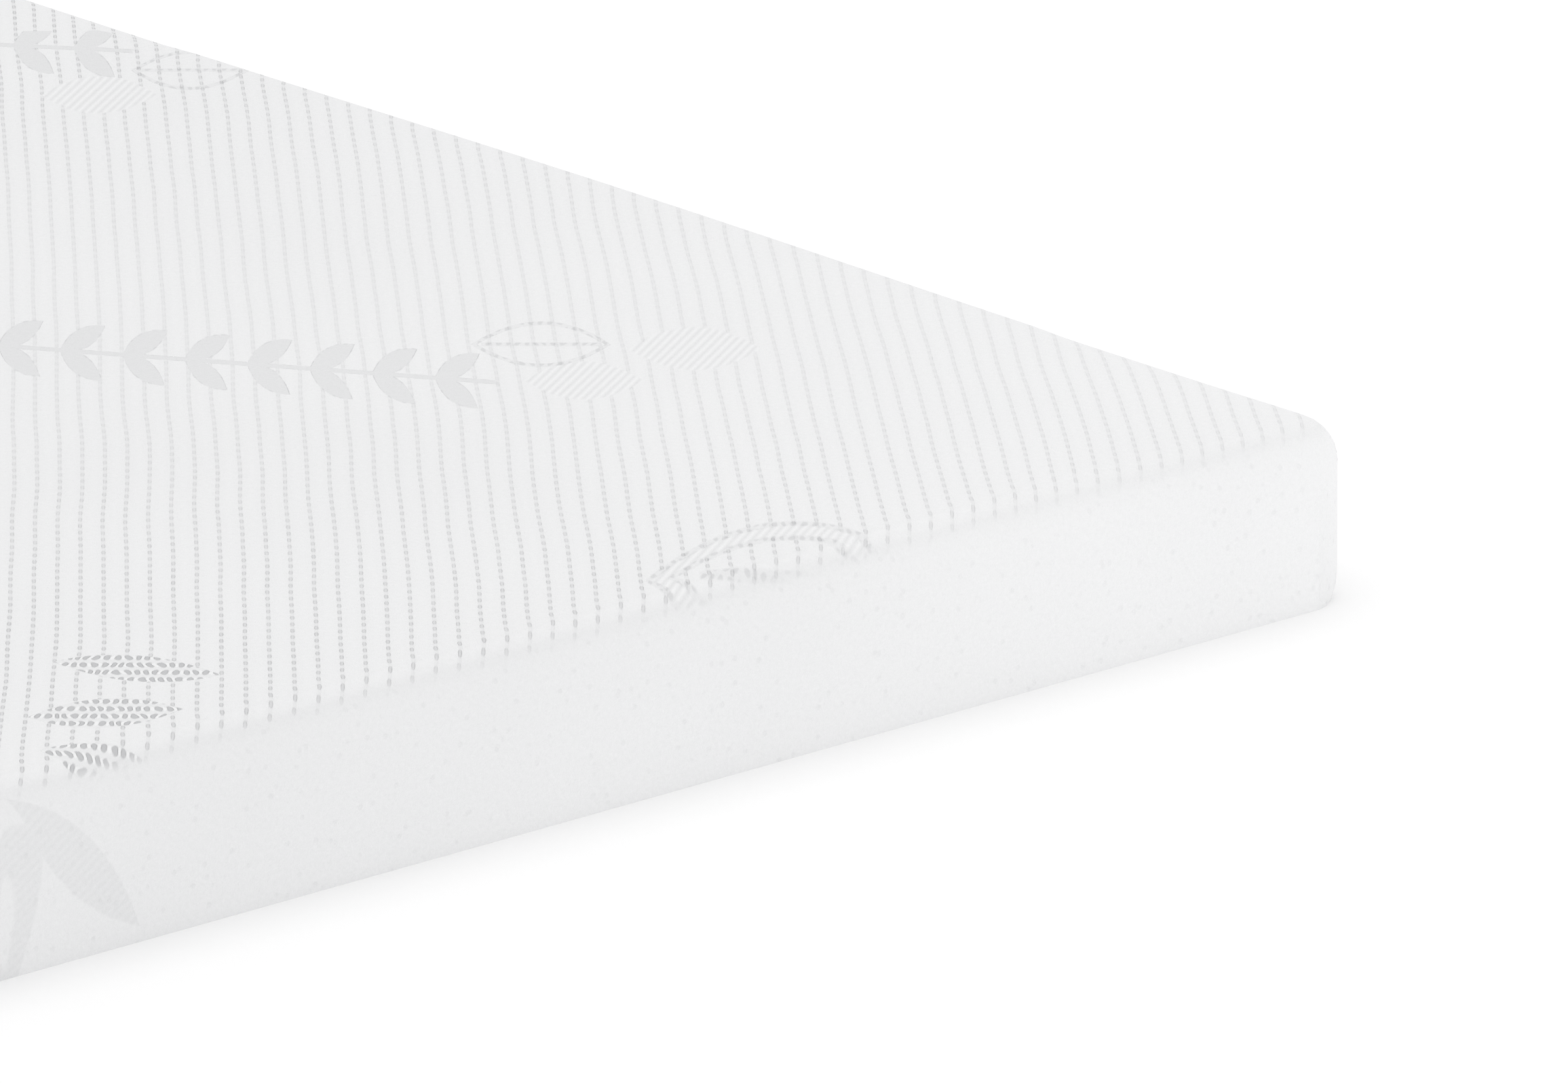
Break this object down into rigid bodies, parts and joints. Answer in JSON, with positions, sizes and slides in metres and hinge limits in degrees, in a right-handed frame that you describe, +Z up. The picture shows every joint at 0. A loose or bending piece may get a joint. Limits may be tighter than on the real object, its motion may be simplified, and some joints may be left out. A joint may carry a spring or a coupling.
{
  "type": "memory foam mattress",
  "caption": "Thin rectangular foam mattress in a removable white knitted cover with soft rounded edges, closed by a zip along one long side.",
  "frame": {"origin": "middle of the underside, on the surface the mattress lies on", "axes": "+X along the length, +Y towards the long side that holds the zip, +Z up through the thickness"},
  "size_m": [1.9, 0.9043, 0.08],
  "materials": {
    "knit_cloth": "matte",
    "base_cloth": "matte",
    "liner_cloth": "matte",
    "memory_foam": "matte",
    "support_foam": "matte",
    "zip_tape": "matte",
    "zip_nylon": "satin",
    "zip_metal": "satin",
    "thread": "satin",
    "label_satin": "satin"
  },
  "bodies": {
    "root": {"cover_shell": "knit_cloth", "cover_base": "base_cloth", "base_seam_thread": "thread", "inner_liner": "liner_cloth", "liner_seam_thread": "thread", "memory_foam_layer": "memory_foam", "support_foam_layer": "support_foam", "zip_tape_upper": "zip_tape", "zip_tape_lower": "zip_tape", "zip_teeth_upper": "zip_nylon", "zip_teeth_lower": "zip_nylon", "zip_stitch_upper": "thread", "zip_stitch_lower": "thread", "zip_top_stops": "zip_metal", "zip_bottom_stop": "zip_metal", "zip_bartacks": "thread", "care_label": "label_satin", "care_label_thread": "thread"},
    "zip_slider": {"zip_slider": "zip_metal"},
    "zip_puller": {"zip_puller": "zip_metal"}
  },
  "joints": [
    {"name": "zip_slide", "type": "slide", "parent": "root", "child": "zip_slider", "axis": [-1, 0, 0], "range_m": [0, 1.587]},
    {"name": "puller_flip", "type": "hinge", "parent": "zip_slider", "child": "zip_puller", "pos_m": [0.7935, 0.452, 0.036], "axis": [0, 0, -1], "range_deg": [0, 180]}
  ]
}
